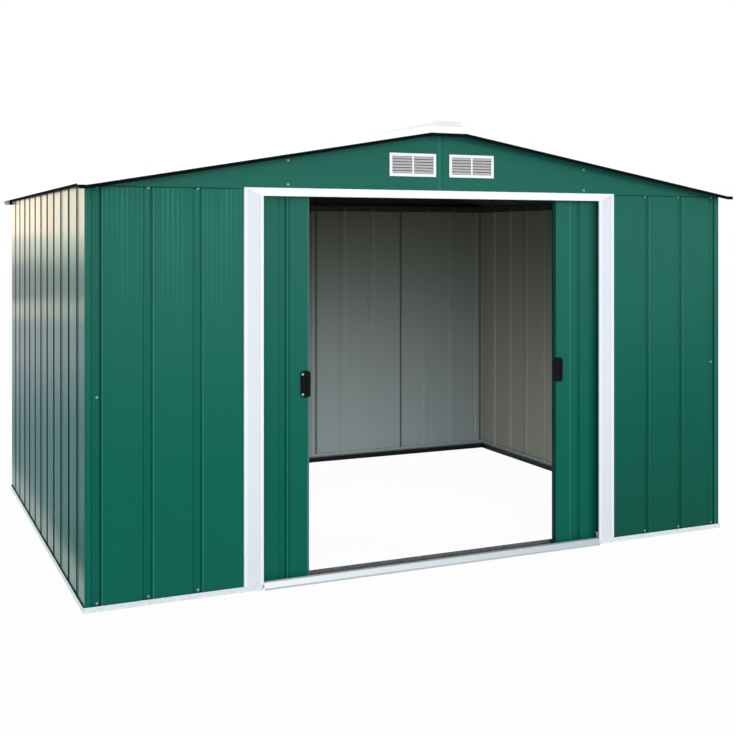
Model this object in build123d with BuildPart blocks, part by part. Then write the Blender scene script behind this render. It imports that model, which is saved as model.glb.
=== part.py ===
from build123d import *
from math import cos, radians, tan
import os

os.makedirs("parts", exist_ok=True)

# Metal storage shed with a low gable roof and two sliding doors, in millimetres.
# The origin is on the floor under the middle of the shed. The doors face -Y.
# Both doors are modelled fully open, slid apart behind the front wall.

# Walls
wall_length = 3140.0  # front and back walls, between the outer faces
wall_depth = 2360.0  # side walls, between the outer faces
wall_height = 1668.0  # floor to the top of the wall sheets
sheet = 1.2  # wall, gable, roof and door sheet

# Ribs pressed into the wall and door sheets, as valleys seen from outside
sheet_width = 610.0
ribs_per_sheet = 3
rib_mouth = 42.0
rib_floor = 26.0
rib_depth = 12.0
rib_margin = 40.0  # least distance from a sheet's end to a rib's centre
side_first_rib = 165.0  # front corner to the first rib on a side wall

# Rolled steel rails
rail_sheet = 1.5
base_lip_out = 6.0  # outer lip, in front of the wall's face
base_lip_height = 22.0
base_leg_height = 50.0
base_return = 10.0
top_leg = 20.0
top_flange = 36.0
top_rail_drop = 4.0  # wall's top to the top of the back rail and the upper track

# Doorway and its white frame
doorway_width = 1680.0
jamb_width = 84.0
lintel_height = 34.0
frame_out = 10.0  # how far the frame stands out of the wall
frame_sheet = 1.5
frame_edge = 15.0  # flat edge on each side of a jamb's shallow middle
lintel_edge = 8.5  # the same on the lintel
frame_dish = 2.5
frame_return = 8.0  # the jambs' edge that turns back beside the doorway
wall_cover = 78.0  # how far the frame laps over the wall sheet
sill_reach = 22.0  # how far the sill slopes out in front of the wall
sill_top = 6.0  # flat top of the sill, in front of the wall's face
sill_height = 27.0
sill_end_gap = 2.0

# Doors and their tracks
door_width = 860.0
door_bottom = 12.0
door_top_gap = 6.0  # door's top to the shelf of the upper track
door_setback = 36.0  # front wall's outer face to the door's face
door_edge_depth = 20.0
door_bevel = 12.0  # along the edge that faces the doorway
door_hem = 12.0
door_clearance = 94.0  # side wall's outer face to the open door's outer edge
track_depth = 72.0  # front wall's outer face to the back of the upper track
track_shelf_drop = 28.0  # wall's top to the shelf of the upper track
track_lip_set = 12.0  # back of the upper track to the lip that carries the doors
track_lip_height = 8.0
lower_track_depth = 80.0
lower_track_rise = 28.0  # back flange of the lower track
track_ridge = 5.5
track_ridge_top = 4.0
track_ridge_foot = 8.0
track_ridge_offset = 11.0  # each ridge to the middle of the doors' ribs
runner_sheet = 2.0
hook_leg = 50.0  # hook's plate behind the door
running_gap = 0.5  # hooks over the lip that carries them
shoe_gap = 1.0  # shoes over the lower track
shoe_height = 48.0

# Door handles
handle_width = 44.0
handle_height = 114.0
handle_thickness = 7.0
handle_middle = 837.0
handle_corner = 14.0
handle_edge = 2.0
grip_width = 15.0
grip_height = 62.0
grip_depth = 4.0
grip_offset = 2.0  # middle of the handle to the middle of the grip

# Gables
gable_lap = 6.0  # the gable sheets lap this much over the wall's top
vent_width = 228.0
vent_height = 102.0
vent_rise = 112.0  # wall's top to the vents' middle
vent_gap = 67.0  # between the two vents
vent_border = 13.0
vent_mullion = 8.0
vent_plate = 6.0
vent_slats = 6
vent_slat_width = 10.5
vent_slat_thickness = 1.6
vent_slat_tilt = 65.0

# Roof
roof_pitch = 9.8  # degrees
roof_lift = 8.0  # wall's top to the roof sheets, at the side walls
side_overhang = 40.0
gable_overhang = 70.0
apex_half_flat = 90.0  # half width of the flat middle of the gable trims
ridge_gap = 20.0  # middle of the ridge to the upper end of the roof sheets
roof_rib_height = 14.0
roof_rib_foot = 54.0
roof_rib_top = 28.0
trim_sheet = 1.5
trim_drop = 12.0  # gable trims reach this far below the roof sheet
trim_lap = 26.0  # trims lie this far over the outer ribs
edge_height = 15.0  # dark edge rail that shows under the trims
edge_setback = 4.0  # trims' outer face to the dark edge rail
eave_flange = 16.0  # side edge rails, out under the roof sheets
eave_lap = 3.0  # side edge rails, down over the wall's face
eave_end_setback = 4.5  # trims' inner face to the lower end of the roof sheets
ridge_cap_half = 150.0
cap_clearance = 1.0  # ridge cap's wings to the gable trims' flanges
ridge_box_half = 57.0
ridge_box_rise = 17.5
ridge_box_batter = 5.0
end_cap_depth = 18.0
purlin_height = 48.0
purlin_flange = 36.0
ridge_beam_half = 30.0
ridge_beam_height = 55.0

# Sizes that follow from the ones above
half_length = wall_length / 2
half_depth = wall_depth / 2
rib_pitch = sheet_width / ribs_per_sheet
rail_line = rib_depth + sheet  # inner face of the rib floors, where the rails sit
rail_inside = rail_line + rail_sheet
half_doorway = doorway_width / 2
frame_half = half_doorway + jamb_width
doorway_height = wall_height - lintel_height
track_top = wall_height - top_rail_drop
track_shelf = wall_height - track_shelf_drop
door_top = track_shelf - door_top_gap
slope = tan(radians(roof_pitch))
upright = 1 / cos(radians(roof_pitch))  # height of a unit measured across the slope
roof_half_width = half_length + side_overhang
roof_half_depth = half_depth + gable_overhang
rib_line = (roof_rib_height + sheet) * upright  # tops of the roof ribs above the underside
seam_height = wall_height - gable_lap
vent_middle_height = wall_height + vent_rise

# Each wall has a plane with X along the wall, Y into the shed and Z up
front = Plane(origin=(0, -half_depth, 0), x_dir=(1, 0, 0), z_dir=(0, 0, 1))
back = Plane(origin=(0, half_depth, 0), x_dir=(-1, 0, 0), z_dir=(0, 0, 1))
left = Plane(origin=(-half_length, 0, 0), x_dir=(0, -1, 0), z_dir=(0, 0, 1))
right = Plane(origin=(half_length, 0, 0), x_dir=(0, 1, 0), z_dir=(0, 0, 1))


def save(piece, name):
    piece.part.label = name
    export_step(piece.part, f"parts/{name}.step")


def mirrored(piece, plane):
    with BuildPart() as twin:
        mirror(piece.part, about=plane)
    return twin


def across(side, along):
    # plane that cuts a wall at right angles: X into the shed, Y up
    return Plane(origin=side.from_local_coords((along, 0, 0)), x_dir=side.y_dir, z_dir=side.x_dir)


def outline(points):
    with BuildLine(Plane.XY) as line:
        Polyline(*points, close=True)
    make_face(line.edges())


def beside(points, distance):
    # the same line moved sideways to its left, with its corners kept sharp
    corners = [Vector(*point) for point in points]
    runs = [(end - start).normalized() for start, end in zip(corners, corners[1:])]
    lefts = [Vector(-run.Y, run.X) for run in runs]
    moved = []
    for corner, before, after in zip(corners, lefts[:1] + lefts, lefts + lefts[-1:]):
        moved.append(corner + (before + after) * (distance / (1 + before.dot(after))))
    return moved


def folded(points, thickness):
    # section of a folded sheet, with its thickness to the left of the line
    outline(points + beside(points, thickness)[::-1])


def centred_ribs(length):
    count = int((length - 2 * rib_margin) / rib_pitch) + 1
    first = -(count - 1) * rib_pitch / 2
    return [first + index * rib_pitch for index in range(count)]


def rib_points(centre, depth):
    return [
        (centre - rib_mouth / 2, depth),
        (centre - rib_floor / 2, depth + rib_depth),
        (centre + rib_floor / 2, depth + rib_depth),
        (centre + rib_mouth / 2, depth),
    ]


def underside(reach):
    # height of the roof sheets' underside at a distance from the ridge
    return wall_height + roof_lift + (half_length - reach) * slope


def roof_band(low, high, inner, outer):
    # strip along the left slope, flat within apex_half_flat of the ridge
    bend = max(min(apex_half_flat, outer), inner)
    reaches = [outer, bend, inner] if inner < bend < outer else [outer, inner]
    heights = [underside(max(reach, apex_half_flat)) for reach in reaches]
    bottom = [(-reach, height + low) for reach, height in zip(reaches, heights)]
    top = [(-reach, height + high) for reach, height in zip(reaches, heights)]
    return bottom + top[::-1]


def slope_strip(low, high, inner, outer):
    # strip that follows the left slope all the way up
    return [
        (-outer, underside(outer) + low),
        (-inner, underside(inner) + low),
        (-inner, underside(inner) + high),
        (-outer, underside(outer) + high),
    ]


# Rib places along each wall, in that wall's own plane
long_ribs = centred_ribs(wall_length)
side_count = int((wall_depth - side_first_rib - rib_margin) / rib_pitch) + 1
side_ribs = [half_depth - side_first_rib - index * rib_pitch for index in range(side_count)]
front_ribs = [rib for rib in long_ribs if rib < -frame_half - rib_mouth / 2]

# Base rails: a channel that the wall sheets stand in, mitred at the corners
base_section = [
    (-base_lip_out, base_lip_height),
    (-base_lip_out, 0),
    (rail_inside, 0),
    (rail_inside, base_leg_height),
    (rail_inside + base_return, base_leg_height),
]


def base_rail(side, start, end, mitres):
    with BuildPart() as rail:
        with BuildSketch(across(side, start)):
            folded(base_section, rail_sheet)
        extrude(amount=end - start)
        for corner, inward in mitres:
            along = side.x_dir * inward
            cut = Plane(origin=side.from_local_coords((corner, 0, 0)), z_dir=along - side.y_dir)
            split(bisect_by=cut, keep=Keep.TOP)
    return rail


long_end = half_length + base_lip_out
side_end = half_depth + base_lip_out
base_front_left = base_rail(front, -long_end, -half_doorway, [(-half_length, 1)])
save(base_front_left, "base_rail_front_left")
save(mirrored(base_front_left, Plane.YZ), "base_rail_front_right")
back_mitres = [(-half_length, 1), (half_length, -1)]
save(base_rail(back, -long_end, long_end, back_mitres), "base_rail_back")
side_mitres = [(-half_depth, 1), (half_depth, -1)]
base_left = base_rail(left, -side_end, side_end, side_mitres)
save(base_left, "base_rail_left")
save(mirrored(base_left, Plane.YZ), "base_rail_right")


# Wall sheets stand in the base rails and meet in the middle of a rib
def wall_sheet(side, line):
    with BuildPart() as wall:
        with BuildSketch(side.offset(rail_sheet)):
            folded(line, sheet)
        extrude(amount=wall_height - rail_sheet)
    return wall


def half_rib_end(rib):
    return (rib, rib_depth)


def rib_right_half(rib):
    return [half_rib_end(rib)] + rib_points(rib, 0)[2:]


def rib_left_half(rib):
    return rib_points(rib, 0)[:2] + [half_rib_end(rib)]


def sheet_between_ribs(ribs):
    line = rib_right_half(ribs[0])
    for rib in ribs[1:-1]:
        line += rib_points(rib, 0)
    return line + rib_left_half(ribs[-1])


back_wall = wall_sheet(back, sheet_between_ribs(long_ribs))
save(back_wall, "back_wall")
left_wall = wall_sheet(left, sheet_between_ribs(side_ribs[::-1]))
save(left_wall, "left_wall")
save(mirrored(left_wall, Plane.YZ), "right_wall")

front_line = rib_right_half(front_ribs[0])
for rib in front_ribs[1:]:
    front_line += rib_points(rib, 0)
front_line.append((-frame_half + wall_cover, 0))
front_wall_left = wall_sheet(front, front_line)
save(front_wall_left, "front_wall_left")
save(mirrored(front_wall_left, Plane.YZ), "front_wall_right")


# Corner sheets fold round each corner from the first rib to the first rib
def corner_sheet(side_rib, sign):
    # sign is -1 at the front and 1 at the back
    wall_line = sign * half_depth
    floor_line = wall_line - sign * rib_depth
    long_rib = long_ribs[0]
    line = [
        (long_rib, floor_line),
        (long_rib - rib_floor / 2, floor_line),
        (long_rib - rib_mouth / 2, wall_line),
        (-half_length, wall_line),
        (-half_length, side_rib + sign * rib_mouth / 2),
        (-half_length + rib_depth, side_rib + sign * rib_floor / 2),
        (-half_length + rib_depth, side_rib),
    ]
    with BuildPart() as corner:
        with BuildSketch(Plane.XY.offset(rail_sheet)):
            folded(line, sign * sheet)
        extrude(amount=wall_height - rail_sheet)
    return corner


corner_front = corner_sheet(-side_ribs[0], -1)
corner_back = corner_sheet(-side_ribs[-1], 1)
save(corner_front, "corner_front_left")
save(mirrored(corner_front, Plane.YZ), "corner_front_right")
save(corner_back, "corner_back_left")
save(mirrored(corner_back, Plane.YZ), "corner_back_right")

# Top rails: the side rails' flanges lie against the roof sheets
long_rail_half = half_length - rail_line
with BuildPart() as top_rail_back:
    with BuildSketch(across(back, -long_rail_half)):
        folded(
            [
                (rail_line, track_top - top_leg),
                (rail_line, track_top),
                (rail_line + top_flange, track_top),
            ],
            -rail_sheet,
        )
    extrude(amount=2 * long_rail_half)
save(top_rail_back, "top_rail_back")

side_rail_start = half_depth - rail_line - top_flange
side_rail_end = half_depth - track_depth
with BuildPart() as top_rail_left:
    with BuildSketch(across(left, -side_rail_start)):
        folded(
            [
                (rail_line, underside(half_length) - top_leg),
                (rail_line, underside(half_length - rail_line)),
                (rail_line + top_flange, underside(half_length - rail_line - top_flange)),
            ],
            -rail_sheet,
        )
    extrude(amount=side_rail_start + side_rail_end)
save(top_rail_left, "top_rail_left")
save(mirrored(top_rail_left, Plane.YZ), "top_rail_right")

# Upper door track: fixed to the front wall, with a lip that the doors hang on
lip_line = track_depth - track_lip_set
with BuildPart() as upper_door_track:
    with BuildSketch(across(front, -long_rail_half)):
        folded(
            [
                (rail_line, doorway_height),
                (rail_line, track_top),
                (track_depth, track_top),
                (track_depth, track_shelf),
                (lip_line, track_shelf),
                (lip_line, track_shelf + track_lip_height),
            ],
            -rail_sheet,
        )
    extrude(amount=2 * long_rail_half)
save(upper_door_track, "upper_door_track")

# Lower door track: two ridges guide the doors' shoes, in front of an upright flange
door_middle = door_setback + rib_depth + sheet / 2
lower_line = [(rail_inside, 0)]
for ridge in (door_middle - track_ridge_offset, door_middle + track_ridge_offset):
    lower_line += [
        (ridge - track_ridge_foot / 2, 0),
        (ridge - track_ridge_top / 2, track_ridge),
        (ridge + track_ridge_top / 2, track_ridge),
        (ridge + track_ridge_foot / 2, 0),
    ]
lower_line += [(lower_track_depth, 0), (lower_track_depth, lower_track_rise)]
with BuildPart() as lower_door_track:
    with BuildSketch(across(front, -half_length + rail_inside)):
        folded(lower_line, rail_sheet)
    extrude(amount=2 * (half_length - rail_inside))
save(lower_door_track, "lower_door_track")

# Door sill: slopes out from the doorway, between the jambs
sill_half = half_doorway - sill_end_gap
with BuildPart() as door_sill:
    with BuildSketch(across(front, -sill_half)):
        folded(
            [
                (-sill_reach, 0),
                (-sill_top, sill_height),
                (rail_inside, sill_height),
                (rail_inside, 0),
            ],
            -rail_sheet,
        )
    extrude(amount=2 * sill_half)
save(door_sill, "door_sill")

# Door frame: shallow channels that stand on the base rails' lips, mitred at the lintel
with BuildPart() as door_jamb_left:
    with BuildSketch(front.offset(base_lip_height)):
        folded(
            [
                (-frame_half, 0),
                (-frame_half, -frame_out),
                (-frame_half + frame_edge, -frame_out),
                (-frame_half + frame_edge + frame_dish, -frame_out + frame_dish),
                (-half_doorway - frame_edge - frame_dish, -frame_out + frame_dish),
                (-half_doorway - frame_edge, -frame_out),
                (-half_doorway, -frame_out),
                (-half_doorway, -frame_out + frame_return),
            ],
            frame_sheet,
        )
    extrude(amount=wall_height - base_lip_height)
    mitre_corner = front.from_local_coords((-half_doorway, 0, doorway_height))
    split(bisect_by=Plane(origin=mitre_corner, z_dir=(-lintel_height, 0, -jamb_width)), keep=Keep.TOP)
    with BuildSketch(front.offset(seam_height)):
        with Locations((-frame_half, -sheet / 2)):
            Rectangle(2 * jamb_width, sheet)
    extrude(amount=gable_lap, mode=Mode.SUBTRACT)
save(door_jamb_left, "door_jamb_left")
save(mirrored(door_jamb_left, Plane.YZ), "door_jamb_right")

with BuildPart() as door_lintel:
    with BuildSketch(across(front, -frame_half)):
        folded(
            [
                (-sheet, wall_height),
                (-frame_out, wall_height),
                (-frame_out, wall_height - lintel_edge),
                (-frame_out + frame_dish, wall_height - lintel_edge - frame_dish),
                (-frame_out + frame_dish, doorway_height + lintel_edge + frame_dish),
                (-frame_out, doorway_height + lintel_edge),
                (-frame_out, doorway_height),
                (rail_line, doorway_height),
            ],
            frame_sheet,
        )
    extrude(amount=2 * frame_half)
    for end in (-1, 1):
        mitre_corner = front.from_local_coords((end * half_doorway, 0, doorway_height))
        mitre = Plane(origin=mitre_corner, z_dir=(-end * lintel_height, 0, jamb_width))
        split(bisect_by=mitre, keep=Keep.TOP)
save(door_lintel, "door_lintel")

# Gable sheets lap over the wall's top and follow the roof
vent_offset = (vent_gap + vent_width) / 2


def gable_sheet(with_vent):
    with BuildPart() as gable:
        with BuildSketch(Plane.XZ.offset(half_depth)):
            outline(
                [
                    (-half_length, seam_height),
                    (0, seam_height),
                    (0, underside(ridge_gap)),
                    (-ridge_gap, underside(ridge_gap)),
                    (-half_length, underside(half_length)),
                ]
            )
            if with_vent:
                with Locations((-vent_offset, vent_middle_height)):
                    hole = (vent_width - 2 * vent_border, vent_height - 2 * vent_border)
                    Rectangle(*hole, mode=Mode.SUBTRACT)
        extrude(amount=sheet)
    return gable


front_gable = gable_sheet(True)
save(front_gable, "front_gable_left")
save(mirrored(front_gable, Plane.YZ), "front_gable_right")
back_gable = mirrored(gable_sheet(False), Plane.XZ)
save(back_gable, "back_gable_left")
save(mirrored(back_gable, Plane.YZ), "back_gable_right")

# Louvred vents, each a framed plate with two columns of tilted slats
vent_face = half_depth + sheet
slat_length = (vent_width - 2 * vent_border - vent_mullion) / 2
slat_pitch = (vent_height - 2 * vent_border) / vent_slats
slat_offset = (slat_length + vent_mullion) / 2
with BuildPart() as vent_left:
    with BuildSketch(Plane.XZ.offset(vent_face)):
        with Locations((-vent_offset, vent_middle_height)):
            Rectangle(vent_width, vent_height)
            with Locations((-slat_offset, 0), (slat_offset, 0)):
                Rectangle(slat_length, vent_height - 2 * vent_border, mode=Mode.SUBTRACT)
    extrude(amount=vent_plate)
    with BuildSketch(Plane.YZ.offset(-vent_offset - vent_width / 2 + vent_border)):
        for index in range(vent_slats):
            middle = vent_middle_height + (index - (vent_slats - 1) / 2) * slat_pitch
            with Locations((-vent_face - vent_plate / 2, middle)):
                Rectangle(vent_slat_width, vent_slat_thickness, rotation=vent_slat_tilt)
    extrude(amount=2 * slat_length + vent_mullion)
save(vent_left, "vent_left")
save(mirrored(vent_left, Plane.YZ), "vent_right")

# Roof beams run between the gable sheets
with BuildPart() as ridge_beam:
    with BuildSketch(Plane.XZ):
        folded(
            [
                (-ridge_beam_half, underside(ridge_beam_half) - ridge_beam_height),
                (-ridge_beam_half, underside(ridge_beam_half)),
                (0, underside(0)),
                (ridge_beam_half, underside(ridge_beam_half)),
                (ridge_beam_half, underside(ridge_beam_half) - ridge_beam_height),
            ],
            -rail_sheet,
        )
    extrude(amount=half_depth, both=True)
save(ridge_beam, "ridge_beam")

purlin_reach = half_length / 2
with BuildPart() as purlin_left:
    with BuildSketch(Plane.XZ):
        inner_reach = purlin_reach - purlin_flange
        folded(
            [
                (-inner_reach, underside(purlin_reach) - purlin_height),
                (-purlin_reach, underside(purlin_reach) - purlin_height),
                (-purlin_reach, underside(purlin_reach)),
                (-inner_reach, underside(inner_reach)),
            ],
            -rail_sheet,
        )
    extrude(amount=half_depth, both=True)
save(purlin_left, "purlin_left")
save(mirrored(purlin_left, Plane.YZ), "purlin_right")

# Roof sheets: ribs stand up and run from the ridge to the eave
roof_end = roof_half_width - trim_sheet - eave_end_setback
roof_side = roof_half_depth - trim_sheet
roof_rib_count = round(2 * roof_side / rib_pitch)
roof_rib_pitch = 2 * roof_side / roof_rib_count
roof_line = [(-roof_side, roof_rib_height), (-roof_side + roof_rib_top, roof_rib_height)]
flank = (roof_rib_foot - roof_rib_top) / 2
roof_line.append((-roof_side + roof_rib_top + flank, 0))
for index in range(1, roof_rib_count):
    centre = -roof_side + index * roof_rib_pitch
    roof_line += [
        (centre - roof_rib_foot / 2, 0),
        (centre - roof_rib_top / 2, roof_rib_height),
        (centre + roof_rib_top / 2, roof_rib_height),
        (centre + roof_rib_foot / 2, 0),
    ]
roof_line.append((roof_side - roof_rib_top - flank, 0))
roof_line += [(roof_side - roof_rib_top, roof_rib_height), (roof_side, roof_rib_height)]
eave_edge = Plane(
    origin=(-roof_end, 0, underside(roof_end)),
    x_dir=(0, 1, 0),
    z_dir=(1, 0, slope),
)
with BuildPart() as roof_left:
    with BuildSketch(eave_edge):
        folded(roof_line, sheet)
    extrude(amount=(roof_end - ridge_gap) * upright)
save(roof_left, "roof_left")
save(mirrored(roof_left, Plane.YZ), "roof_right")

# Ridge cap: wings lie on the roof ribs beside a raised box
rib_top_at_box = underside(ridge_box_half) + rib_line
box_top = rib_top_at_box + ridge_box_rise
cap_line = [
    (-ridge_cap_half, underside(ridge_cap_half) + rib_line),
    (-ridge_box_half, rib_top_at_box),
    (-ridge_box_half + ridge_box_batter, box_top),
    (ridge_box_half - ridge_box_batter, box_top),
    (ridge_box_half, rib_top_at_box),
    (ridge_cap_half, underside(ridge_cap_half) + rib_line),
]
with BuildPart() as ridge_cap:
    with BuildSketch(Plane.XZ):
        folded(cap_line, sheet)
    extrude(amount=roof_side, both=True)
save(ridge_cap, "ridge_cap")

# End caps plug the raised box at both gables and close the gap above the gable trims
trim_top = underside(apex_half_flat) + rib_line + trim_sheet
with BuildPart() as ridge_end_caps:
    with BuildSketch(Plane.XZ.offset(roof_side - end_cap_depth)):
        outline(
            [
                (-ridge_box_half, rib_top_at_box),
                (0, underside(0) + rib_line),
                (ridge_box_half, rib_top_at_box),
                (ridge_box_half - ridge_box_batter, box_top),
                (-ridge_box_half + ridge_box_batter, box_top),
            ]
        )
    extrude(amount=end_cap_depth)
    with BuildSketch(Plane.XZ.offset(roof_side)):
        outline(
            [
                (-apex_half_flat, trim_top),
                (apex_half_flat, trim_top),
                (ridge_box_half, rib_top_at_box + sheet),
                (ridge_box_half - ridge_box_batter, box_top + sheet),
                (-ridge_box_half + ridge_box_batter, box_top + sheet),
                (-ridge_box_half, rib_top_at_box + sheet),
            ]
        )
    extrude(amount=trim_sheet)
    mirror(about=Plane.XZ)
save(ridge_end_caps, "ridge_end_caps")

# White gable trims: a face in front of the roof sheets and a flange on the outer rib
trim_inner = roof_half_width - side_overhang


def gable_trim():
    with BuildPart() as trim:
        with BuildSketch(Plane.XZ.offset(roof_side)):
            outline(roof_band(-trim_drop, rib_line + trim_sheet, 0, trim_inner))
        extrude(amount=trim_sheet)
        with BuildSketch(Plane.XZ.offset(roof_side - trim_lap)):
            flange_end = ridge_cap_half + cap_clearance
            outline(slope_strip(rib_line, rib_line + trim_sheet, flange_end, trim_inner))
        extrude(amount=trim_lap)
    return trim


front_trim = gable_trim()
back_trim = mirrored(front_trim, Plane.XZ)
save(front_trim, "front_trim_left")
save(mirrored(front_trim, Plane.YZ), "front_trim_right")
save(back_trim, "back_trim_left")
save(mirrored(back_trim, Plane.YZ), "back_trim_right")

# Dark edge rails under the trims, with a soffit back to the gable
edge_face = roof_half_depth - edge_setback
soffit_depth = edge_face - vent_face
with BuildPart() as front_edge_rail:
    with BuildSketch(Plane.XZ.offset(edge_face - rail_sheet)):
        outline(roof_band(-trim_drop - edge_height, 0, 0, trim_inner))
        outline(
            [
                (-trim_inner, underside(trim_inner) - trim_drop - edge_height),
                (-trim_inner, underside(trim_inner)),
                (-roof_end, underside(roof_end)),
                (-roof_end, underside(trim_inner) - trim_drop - edge_height),
            ]
        )
    extrude(amount=rail_sheet)
    with BuildSketch(Plane.XZ.offset(vent_face)):
        outline(roof_band(-rail_sheet, 0, 0, roof_end))
    extrude(amount=soffit_depth)
    mirror(about=Plane.YZ)
save(front_edge_rail, "front_edge_rail")
save(mirrored(front_edge_rail, Plane.XZ), "back_edge_rail")

# Side edge rails: an angle between the wall's top and the roof sheets
flange_reach = half_length + eave_flange
with BuildPart() as left_edge_rail:
    with BuildSketch(Plane.XZ):
        folded(
            [
                (-flange_reach, underside(flange_reach)),
                (-half_length, underside(half_length)),
                (-half_length, wall_height - eave_lap),
            ],
            -rail_sheet,
        )
    extrude(amount=vent_face, both=True)
save(left_edge_rail, "left_edge_rail")
save(mirrored(left_edge_rail, Plane.YZ), "right_edge_rail")

# White eave trims cover the ends of the roof ribs
cap_leg = side_overhang
eave_half = roof_half_depth - cap_leg
eave_section = [
    (-roof_half_width, underside(roof_half_width)),
    (-roof_half_width + trim_sheet, underside(roof_half_width)),
    (-roof_half_width + trim_sheet, underside(roof_half_width - trim_sheet) + rib_line),
    (-roof_half_width + trim_lap, underside(roof_half_width - trim_lap) + rib_line),
    (-roof_half_width + trim_lap, underside(roof_half_width - trim_lap) + rib_line + trim_sheet),
    (-roof_half_width, underside(roof_half_width) + rib_line + trim_sheet),
]
with BuildPart() as eave_trim_left:
    with BuildSketch(Plane.XZ):
        outline(eave_section)
    extrude(amount=eave_half, both=True)
save(eave_trim_left, "eave_trim_left")
save(mirrored(eave_trim_left, Plane.YZ), "eave_trim_right")

# Corner caps join the gable trims to the eave trims
with BuildPart() as eave_corner_caps:
    with BuildSketch(Plane.XZ.offset(roof_side)):
        outline(
            [
                (-roof_half_width, underside(trim_inner) - trim_drop),
                (-trim_inner, underside(trim_inner) - trim_drop),
                (-trim_inner, underside(trim_inner) + rib_line + trim_sheet),
                (-roof_half_width, underside(roof_half_width) + rib_line + trim_sheet),
            ]
        )
    extrude(amount=trim_sheet)
    with BuildSketch(Plane.XZ.offset(eave_half)):
        outline(eave_section)
        outline(slope_strip(rib_line, rib_line + trim_sheet, trim_inner, roof_half_width))
    extrude(amount=cap_leg - trim_sheet)
    mirror(about=Plane.YZ)
    mirror(about=Plane.XZ)
save(eave_corner_caps, "eave_corner_caps")

# Sliding doors, each a ribbed sheet with folded edges
door_outer = half_length - door_clearance
door_inner = door_outer - door_width
door_centre = (door_outer + door_inner) / 2
door_ribs = [rib - door_centre for rib in centred_ribs(door_width)]
door_back = door_setback + door_edge_depth
door_line = [(-door_outer + door_hem, door_back), (-door_outer, door_back), (-door_outer, door_setback)]
for rib in door_ribs:
    door_line += rib_points(rib, door_setback)
door_line += [
    (-door_inner - door_bevel, door_setback),
    (-door_inner, door_setback + door_bevel),
    (-door_inner, door_back),
    (-door_inner - door_hem, door_back),
]
with BuildPart() as left_door:
    with BuildSketch(front.offset(door_bottom)):
        folded(door_line, sheet)
    extrude(amount=door_top - door_bottom)
save(left_door, "left_door")
save(mirrored(left_door, Plane.YZ), "right_door")

# Runners: hooks over the upper track's lip, and shoes between the lower track's ridges
hook_top = track_shelf + track_lip_height + running_gap + runner_sheet
plate_face = door_setback + rail_line
shoe_middle = rail_sheet + shoe_gap + shoe_height / 2
hook_line = [
    (plate_face, door_top - hook_leg),
    (plate_face, hook_top),
    (lip_line + track_lip_set / 2, hook_top),
    (lip_line + track_lip_set / 2, track_shelf + track_lip_height / 2),
]
with BuildPart() as left_door_runners:
    for rib in (door_ribs[0], door_ribs[-1]):
        with BuildSketch(across(front, rib - rib_floor / 2)):
            folded(hook_line, -runner_sheet)
            with Locations((plate_face + runner_sheet / 2, shoe_middle)):
                Rectangle(runner_sheet, shoe_height)
        extrude(amount=rib_floor)
save(left_door_runners, "left_door_runners")
save(mirrored(left_door_runners, Plane.YZ), "right_door_runners")

# Handles: black plates at the doors' meeting edges, with a sunk finger grip
with BuildPart() as left_door_handle:
    with BuildSketch(Plane.XZ.offset(half_depth - door_setback)):
        with Locations((-door_inner - handle_width / 2, handle_middle)):
            RectangleRounded(handle_width, handle_height, handle_corner)
    extrude(amount=handle_thickness)
    outer_face = left_door_handle.faces().sort_by(Axis.Y)[0]
    fillet(outer_face.edges(), radius=handle_edge)
    with BuildSketch(Plane.XZ.offset(half_depth - door_setback + handle_thickness)):
        with Locations((-door_inner - handle_width / 2 - grip_offset, handle_middle)):
            SlotCenterToCenter(grip_height - grip_width, grip_width, rotation=90)
    extrude(amount=-grip_depth, mode=Mode.SUBTRACT)
save(left_door_handle, "left_door_handle")
save(mirrored(left_door_handle, Plane.YZ), "right_door_handle")
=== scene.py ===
import math
import bpy
from mathutils import Matrix, Vector


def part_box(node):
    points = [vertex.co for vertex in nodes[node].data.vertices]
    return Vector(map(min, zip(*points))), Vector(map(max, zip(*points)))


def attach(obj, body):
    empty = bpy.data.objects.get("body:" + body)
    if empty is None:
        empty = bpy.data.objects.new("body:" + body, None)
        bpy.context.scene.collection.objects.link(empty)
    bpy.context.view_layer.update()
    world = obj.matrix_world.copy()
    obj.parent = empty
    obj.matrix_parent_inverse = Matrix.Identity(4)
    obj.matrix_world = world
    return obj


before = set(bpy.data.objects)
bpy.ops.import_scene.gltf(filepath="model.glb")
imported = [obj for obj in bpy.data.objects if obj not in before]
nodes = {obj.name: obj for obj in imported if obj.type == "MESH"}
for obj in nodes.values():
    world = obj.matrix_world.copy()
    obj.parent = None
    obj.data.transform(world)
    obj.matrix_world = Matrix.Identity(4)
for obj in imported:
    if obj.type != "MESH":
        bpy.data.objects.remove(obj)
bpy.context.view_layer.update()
print("frame loaded:", len(nodes), "CAD nodes")

# Places on the shed, in metres, from the frame
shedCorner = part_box("corner_front_left")[0]
shed = {
    "halfLength": -shedCorner[0],
    "halfDepth": -shedCorner[1],
    "wallTop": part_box("back_wall")[1][2],
    "railTop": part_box("door_jamb_left")[0][2],  # top of the base rails' outer lip
    "gableFace": -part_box("front_gable_left")[0][1],
    "roofAngle": 9.8,  # degrees
}
ribs = {
    "pitch": 0.610 / 3,
    "perSheet": 3,
    "depth": 0.012,
    "mouth": 0.042,
    "floor": 0.026,
    "longCount": 16,
    "sideCount": 11,
    "frontPanel": 3,  # ribs on each side of the doorway
    "sideFirst": 0.165,  # front corner to the first rib of a side wall
}
longFirst = -(ribs["longCount"] - 1) * ribs["pitch"] / 2
sideFirst = -shed["halfDepth"] + ribs["sideFirst"]
longRibs = [longFirst + i * ribs["pitch"] for i in range(ribs["longCount"])]
sideRibs = [sideFirst + i * ribs["pitch"] for i in range(ribs["sideCount"])]


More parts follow.
